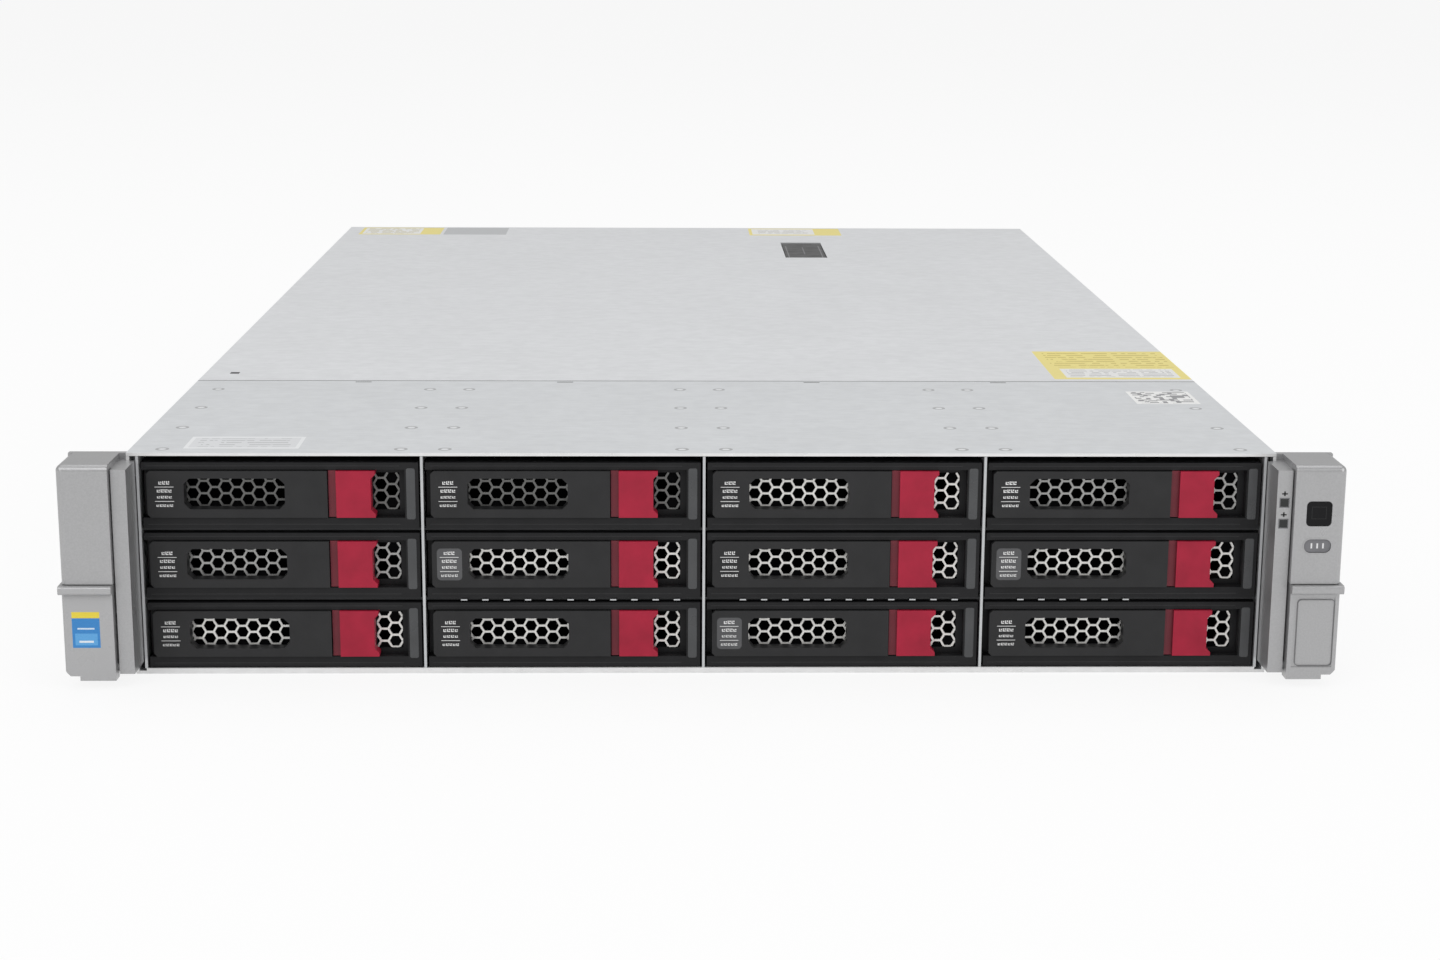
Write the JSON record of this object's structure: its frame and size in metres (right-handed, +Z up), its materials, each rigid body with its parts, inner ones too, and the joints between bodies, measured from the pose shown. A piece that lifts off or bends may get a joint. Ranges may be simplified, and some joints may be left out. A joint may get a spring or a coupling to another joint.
{
  "type": "2u rack server",
  "caption": "Two-unit rack server with rows of hot-swap drive carriers, rack ears, fans, system board and twin power supplies.",
  "frame": {"origin": "centre of the chassis's flat bottom", "axes": "+X to the right seen from the front, +Y from the drive bays towards the back, +Z up"},
  "size_m": [0.4842, 0.7344, 0.0873],
  "materials": {
    "zinc_steel": "satin zinc-coated sheet",
    "roof_steel": "pale satin zinc-coated sheet",
    "ear_silver": "satin silver",
    "carrier_charcoal": "fine matt texture",
    "release_red": "satin",
    "black_plastic": "satin",
    "grey_plastic": "satin",
    "board_green": "lacquered circuit board",
    "sink_aluminium": "bare",
    "supply_metal": "satin metal case",
    "fan_plastic": "satin"
  },
  "bodies": {
    "chassis": {"chassis_tray": "zinc_steel", "drive_cage": "zinc_steel", "front_hood": "roof_steel", "right_ear": "ear_silver", "left_ear": "ear_silver", "drive_backplane": "board_green", "fan_cage": "zinc_steel", "system_board": "board_green", "heat_sink": "sink_aluminium", "riser_cages": "zinc_steel"},
    "access_cover": {"access_cover": "roof_steel"},
    "cover_latch": {"cover_latch": "black_plastic"},
    "right_ear_lever": {"right_ear_lever": "ear_silver"},
    "left_ear_lever": {"left_ear_lever": "ear_silver"},
    "power_button": {"power_button": "black_plastic"},
    "locator_button": {"locator_button": "grey_plastic"},
    "power_supply_1": {"power_supply_1": "supply_metal"},
    "power_supply_latch_1": {"power_supply_latch_1": "release_red"},
    "power_supply_2": {"power_supply_2": "supply_metal"},
    "power_supply_latch_2": {"power_supply_latch_2": "release_red"},
    "fan_rotor_1": {"fan_rotor_1": "fan_plastic"},
    "fan_rotor_2": {"fan_rotor_2": "fan_plastic"},
    "fan_rotor_3": {"fan_rotor_3": "fan_plastic"},
    "fan_rotor_4": {"fan_rotor_4": "fan_plastic"},
    "drive_carrier_01": {"drive_carrier_01": "carrier_charcoal"},
    "carrier_lever_01": {"carrier_lever_01": "carrier_charcoal"},
    "release_button_01": {"release_button_01": "release_red"},
    "drive_carrier_06": {"drive_carrier_06": "carrier_charcoal"},
    "carrier_lever_06": {"carrier_lever_06": "carrier_charcoal"},
    "release_button_06": {"release_button_06": "release_red"},
    "drive_carrier_12": {"drive_carrier_12": "carrier_charcoal"},
    "carrier_lever_12": {"carrier_lever_12": "carrier_charcoal"},
    "release_button_12": {"release_button_12": "release_red"},
    "drive_carrier_02": {"drive_carrier_02": "carrier_charcoal"},
    "carrier_lever_02": {"carrier_lever_02": "carrier_charcoal"},
    "release_button_02": {"release_button_02": "release_red"},
    "drive_carrier_03": {"drive_carrier_03": "carrier_charcoal"},
    "carrier_lever_03": {"carrier_lever_03": "carrier_charcoal"},
    "release_button_03": {"release_button_03": "release_red"},
    "drive_carrier_04": {"drive_carrier_04": "carrier_charcoal"},
    "carrier_lever_04": {"carrier_lever_04": "carrier_charcoal"},
    "release_button_04": {"release_button_04": "release_red"},
    "drive_carrier_05": {"drive_carrier_05": "carrier_charcoal"},
    "carrier_lever_05": {"carrier_lever_05": "carrier_charcoal"},
    "release_button_05": {"release_button_05": "release_red"},
    "drive_carrier_07": {"drive_carrier_07": "carrier_charcoal"},
    "carrier_lever_07": {"carrier_lever_07": "carrier_charcoal"},
    "release_button_07": {"release_button_07": "release_red"},
    "drive_carrier_08": {"drive_carrier_08": "carrier_charcoal"},
    "carrier_lever_08": {"carrier_lever_08": "carrier_charcoal"},
    "release_button_08": {"release_button_08": "release_red"},
    "drive_carrier_09": {"drive_carrier_09": "carrier_charcoal"},
    "carrier_lever_09": {"carrier_lever_09": "carrier_charcoal"},
    "release_button_09": {"release_button_09": "release_red"},
    "drive_carrier_10": {"drive_carrier_10": "carrier_charcoal"},
    "carrier_lever_10": {"carrier_lever_10": "carrier_charcoal"},
    "release_button_10": {"release_button_10": "release_red"},
    "drive_carrier_11": {"drive_carrier_11": "carrier_charcoal"},
    "carrier_lever_11": {"carrier_lever_11": "carrier_charcoal"},
    "release_button_11": {"release_button_11": "release_red"}
  },
  "joints": [
    {"name": "cover_lift", "type": "slide", "parent": "chassis", "child": "access_cover", "axis": [0, 0, 1], "range_m": [0, 0.12]},
    {"name": "cover_latch_turn", "type": "hinge", "parent": "access_cover", "child": "cover_latch", "pos_m": [0.0705, 0.2718, 0.0829], "axis": [-1, 0, 0], "range_deg": [0, 60]},
    {"name": "right_ear_lever_turn", "type": "hinge", "parent": "chassis", "child": "right_ear_lever", "pos_m": [0.232, -0.364, 0.008], "axis": [1, 0, 0], "range_deg": [0, 45], "stiffness_Nm_per_rad": 0.03, "springref_deg": -17.19},
    {"name": "left_ear_lever_turn", "type": "hinge", "parent": "chassis", "child": "left_ear_lever", "pos_m": [-0.232, -0.364, 0.008], "axis": [1, 0, 0], "range_deg": [0, 45], "stiffness_Nm_per_rad": 0.03, "springref_deg": -17.19},
    {"name": "power_button_press", "type": "slide", "parent": "chassis", "child": "power_button", "axis": [0, 1, 0], "range_m": [0, 0.001], "stiffness_N_per_m": 800, "springref_m": -0.001},
    {"name": "locator_button_press", "type": "slide", "parent": "chassis", "child": "locator_button", "axis": [0, 1, 0], "range_m": [0, 0.001], "stiffness_N_per_m": 800, "springref_m": -0.001},
    {"name": "power_supply_1_slide", "type": "slide", "parent": "chassis", "child": "power_supply_1", "axis": [0, 1, 0], "range_m": [0, 0.19]},
    {"name": "power_supply_latch_1_squeeze", "type": "hinge", "parent": "power_supply_1", "child": "power_supply_latch_1", "pos_m": [-0.1347, 0.339, 0.0214], "axis": [0, 0, 1], "range_deg": [0, 5], "stiffness_Nm_per_rad": 0.3, "springref_deg": -2.86},
    {"name": "power_supply_2_slide", "type": "slide", "parent": "chassis", "child": "power_supply_2", "axis": [0, 1, 0], "range_m": [0, 0.19]},
    {"name": "power_supply_latch_2_squeeze", "type": "hinge", "parent": "power_supply_2", "child": "power_supply_latch_2", "pos_m": [-0.1347, 0.339, 0.063], "axis": [0, 0, 1], "range_deg": [0, 5], "stiffness_Nm_per_rad": 0.3, "springref_deg": -2.86},
    {"name": "fan_1_spin", "type": "hinge", "parent": "chassis", "child": "fan_rotor_1", "pos_m": [-0.0306, -0.14, 0.0334], "axis": [0, 1, 0], "continuous": true},
    {"name": "fan_2_spin", "type": "hinge", "parent": "chassis", "child": "fan_rotor_2", "pos_m": [0.0306, -0.14, 0.0334], "axis": [0, 1, 0], "continuous": true},
    {"name": "fan_3_spin", "type": "hinge", "parent": "chassis", "child": "fan_rotor_3", "pos_m": [0.0918, -0.14, 0.0334], "axis": [0, 1, 0], "continuous": true},
    {"name": "fan_4_spin", "type": "hinge", "parent": "chassis", "child": "fan_rotor_4", "pos_m": [0.153, -0.14, 0.0334], "axis": [0, 1, 0], "continuous": true},
    {"name": "drive_carrier_01_slide", "type": "slide", "parent": "chassis", "child": "drive_carrier_01", "axis": [0, -1, 0], "range_m": [0, 0.15]},
    {"name": "carrier_lever_01_swing", "type": "hinge", "parent": "drive_carrier_01", "child": "carrier_lever_01", "pos_m": [-0.2104, -0.3476, 0.0712], "axis": [0, 0, -1], "range_deg": [0, 40], "stiffness_Nm_per_rad": 0.01, "springref_deg": 40.11},
    {"name": "release_button_01_press", "type": "slide", "parent": "drive_carrier_01", "child": "release_button_01", "axis": [1, 0, 0], "range_m": [0, 0.003], "stiffness_N_per_m": 400, "springref_m": -0.002},
    {"name": "drive_carrier_06_slide", "type": "slide", "parent": "chassis", "child": "drive_carrier_06", "axis": [0, -1, 0], "range_m": [0, 0.15]},
    {"name": "carrier_lever_06_swing", "type": "hinge", "parent": "drive_carrier_06", "child": "carrier_lever_06", "pos_m": [-0.1029, -0.3476, 0.0436], "axis": [0, 0, -1], "range_deg": [0, 40], "stiffness_Nm_per_rad": 0.01, "springref_deg": 40.11},
    {"name": "release_button_06_press", "type": "slide", "parent": "drive_carrier_06", "child": "release_button_06", "axis": [1, 0, 0], "range_m": [0, 0.003], "stiffness_N_per_m": 400, "springref_m": -0.002},
    {"name": "drive_carrier_12_slide", "type": "slide", "parent": "chassis", "child": "drive_carrier_12", "axis": [0, -1, 0], "range_m": [0, 0.15]},
    {"name": "carrier_lever_12_swing", "type": "hinge", "parent": "drive_carrier_12", "child": "carrier_lever_12", "pos_m": [0.1121, -0.3476, 0.016], "axis": [0, 0, -1], "range_deg": [0, 40], "stiffness_Nm_per_rad": 0.01, "springref_deg": 40.11},
    {"name": "release_button_12_press", "type": "slide", "parent": "drive_carrier_12", "child": "release_button_12", "axis": [1, 0, 0], "range_m": [0, 0.003], "stiffness_N_per_m": 400, "springref_m": -0.002},
    {"name": "drive_carrier_02_slide", "type": "slide", "parent": "chassis", "child": "drive_carrier_02", "axis": [0, -1, 0], "range_m": [0, 0.15]},
    {"name": "carrier_lever_02_swing", "type": "hinge", "parent": "drive_carrier_02", "child": "carrier_lever_02", "pos_m": [-0.1029, -0.3476, 0.0712], "axis": [0, 0, -1], "range_deg": [0, 40], "stiffness_Nm_per_rad": 0.01, "springref_deg": 40.11},
    {"name": "release_button_02_press", "type": "slide", "parent": "drive_carrier_02", "child": "release_button_02", "axis": [1, 0, 0], "range_m": [0, 0.003], "stiffness_N_per_m": 400, "springref_m": -0.002},
    {"name": "drive_carrier_03_slide", "type": "slide", "parent": "chassis", "child": "drive_carrier_03", "axis": [0, -1, 0], "range_m": [0, 0.15]},
    {"name": "carrier_lever_03_swing", "type": "hinge", "parent": "drive_carrier_03", "child": "carrier_lever_03", "pos_m": [0.0046, -0.3476, 0.0712], "axis": [0, 0, -1], "range_deg": [0, 40], "stiffness_Nm_per_rad": 0.01, "springref_deg": 40.11},
    {"name": "release_button_03_press", "type": "slide", "parent": "drive_carrier_03", "child": "release_button_03", "axis": [1, 0, 0], "range_m": [0, 0.003], "stiffness_N_per_m": 400, "springref_m": -0.002},
    {"name": "drive_carrier_04_slide", "type": "slide", "parent": "chassis", "child": "drive_carrier_04", "axis": [0, -1, 0], "range_m": [0, 0.15]},
    {"name": "carrier_lever_04_swing", "type": "hinge", "parent": "drive_carrier_04", "child": "carrier_lever_04", "pos_m": [0.1121, -0.3476, 0.0712], "axis": [0, 0, -1], "range_deg": [0, 40], "stiffness_Nm_per_rad": 0.01, "springref_deg": 40.11},
    {"name": "release_button_04_press", "type": "slide", "parent": "drive_carrier_04", "child": "release_button_04", "axis": [1, 0, 0], "range_m": [0, 0.003], "stiffness_N_per_m": 400, "springref_m": -0.002},
    {"name": "drive_carrier_05_slide", "type": "slide", "parent": "chassis", "child": "drive_carrier_05", "axis": [0, -1, 0], "range_m": [0, 0.15]},
    {"name": "carrier_lever_05_swing", "type": "hinge", "parent": "drive_carrier_05", "child": "carrier_lever_05", "pos_m": [-0.2104, -0.3476, 0.0436], "axis": [0, 0, -1], "range_deg": [0, 40], "stiffness_Nm_per_rad": 0.01, "springref_deg": 40.11},
    {"name": "release_button_05_press", "type": "slide", "parent": "drive_carrier_05", "child": "release_button_05", "axis": [1, 0, 0], "range_m": [0, 0.003], "stiffness_N_per_m": 400, "springref_m": -0.002},
    {"name": "drive_carrier_07_slide", "type": "slide", "parent": "chassis", "child": "drive_carrier_07", "axis": [0, -1, 0], "range_m": [0, 0.15]},
    {"name": "carrier_lever_07_swing", "type": "hinge", "parent": "drive_carrier_07", "child": "carrier_lever_07", "pos_m": [0.0046, -0.3476, 0.0436], "axis": [0, 0, -1], "range_deg": [0, 40], "stiffness_Nm_per_rad": 0.01, "springref_deg": 40.11},
    {"name": "release_button_07_press", "type": "slide", "parent": "drive_carrier_07", "child": "release_button_07", "axis": [1, 0, 0], "range_m": [0, 0.003], "stiffness_N_per_m": 400, "springref_m": -0.002},
    {"name": "drive_carrier_08_slide", "type": "slide", "parent": "chassis", "child": "drive_carrier_08", "axis": [0, -1, 0], "range_m": [0, 0.15]},
    {"name": "carrier_lever_08_swing", "type": "hinge", "parent": "drive_carrier_08", "child": "carrier_lever_08", "pos_m": [0.1121, -0.3476, 0.0436], "axis": [0, 0, -1], "range_deg": [0, 40], "stiffness_Nm_per_rad": 0.01, "springref_deg": 40.11},
    {"name": "release_button_08_press", "type": "slide", "parent": "drive_carrier_08", "child": "release_button_08", "axis": [1, 0, 0], "range_m": [0, 0.003], "stiffness_N_per_m": 400, "springref_m": -0.002},
    {"name": "drive_carrier_09_slide", "type": "slide", "parent": "chassis", "child": "drive_carrier_09", "axis": [0, -1, 0], "range_m": [0, 0.15]},
    {"name": "carrier_lever_09_swing", "type": "hinge", "parent": "drive_carrier_09", "child": "carrier_lever_09", "pos_m": [-0.2104, -0.3476, 0.016], "axis": [0, 0, -1], "range_deg": [0, 40], "stiffness_Nm_per_rad": 0.01, "springref_deg": 40.11},
    {"name": "release_button_09_press", "type": "slide", "parent": "drive_carrier_09", "child": "release_button_09", "axis": [1, 0, 0], "range_m": [0, 0.003], "stiffness_N_per_m": 400, "springref_m": -0.002},
    {"name": "drive_carrier_10_slide", "type": "slide", "parent": "chassis", "child": "drive_carrier_10", "axis": [0, -1, 0], "range_m": [0, 0.15]},
    {"name": "carrier_lever_10_swing", "type": "hinge", "parent": "drive_carrier_10", "child": "carrier_lever_10", "pos_m": [-0.1029, -0.3476, 0.016], "axis": [0, 0, -1], "range_deg": [0, 40], "stiffness_Nm_per_rad": 0.01, "springref_deg": 40.11},
    {"name": "release_button_10_press", "type": "slide", "parent": "drive_carrier_10", "child": "release_button_10", "axis": [1, 0, 0], "range_m": [0, 0.003], "stiffness_N_per_m": 400, "springref_m": -0.002},
    {"name": "drive_carrier_11_slide", "type": "slide", "parent": "chassis", "child": "drive_carrier_11", "axis": [0, -1, 0], "range_m": [0, 0.15]},
    {"name": "carrier_lever_11_swing", "type": "hinge", "parent": "drive_carrier_11", "child": "carrier_lever_11", "pos_m": [0.0046, -0.3476, 0.016], "axis": [0, 0, -1], "range_deg": [0, 40], "stiffness_Nm_per_rad": 0.01, "springref_deg": 40.11},
    {"name": "release_button_11_press", "type": "slide", "parent": "drive_carrier_11", "child": "release_button_11", "axis": [1, 0, 0], "range_m": [0, 0.003], "stiffness_N_per_m": 400, "springref_m": -0.002}
  ]
}
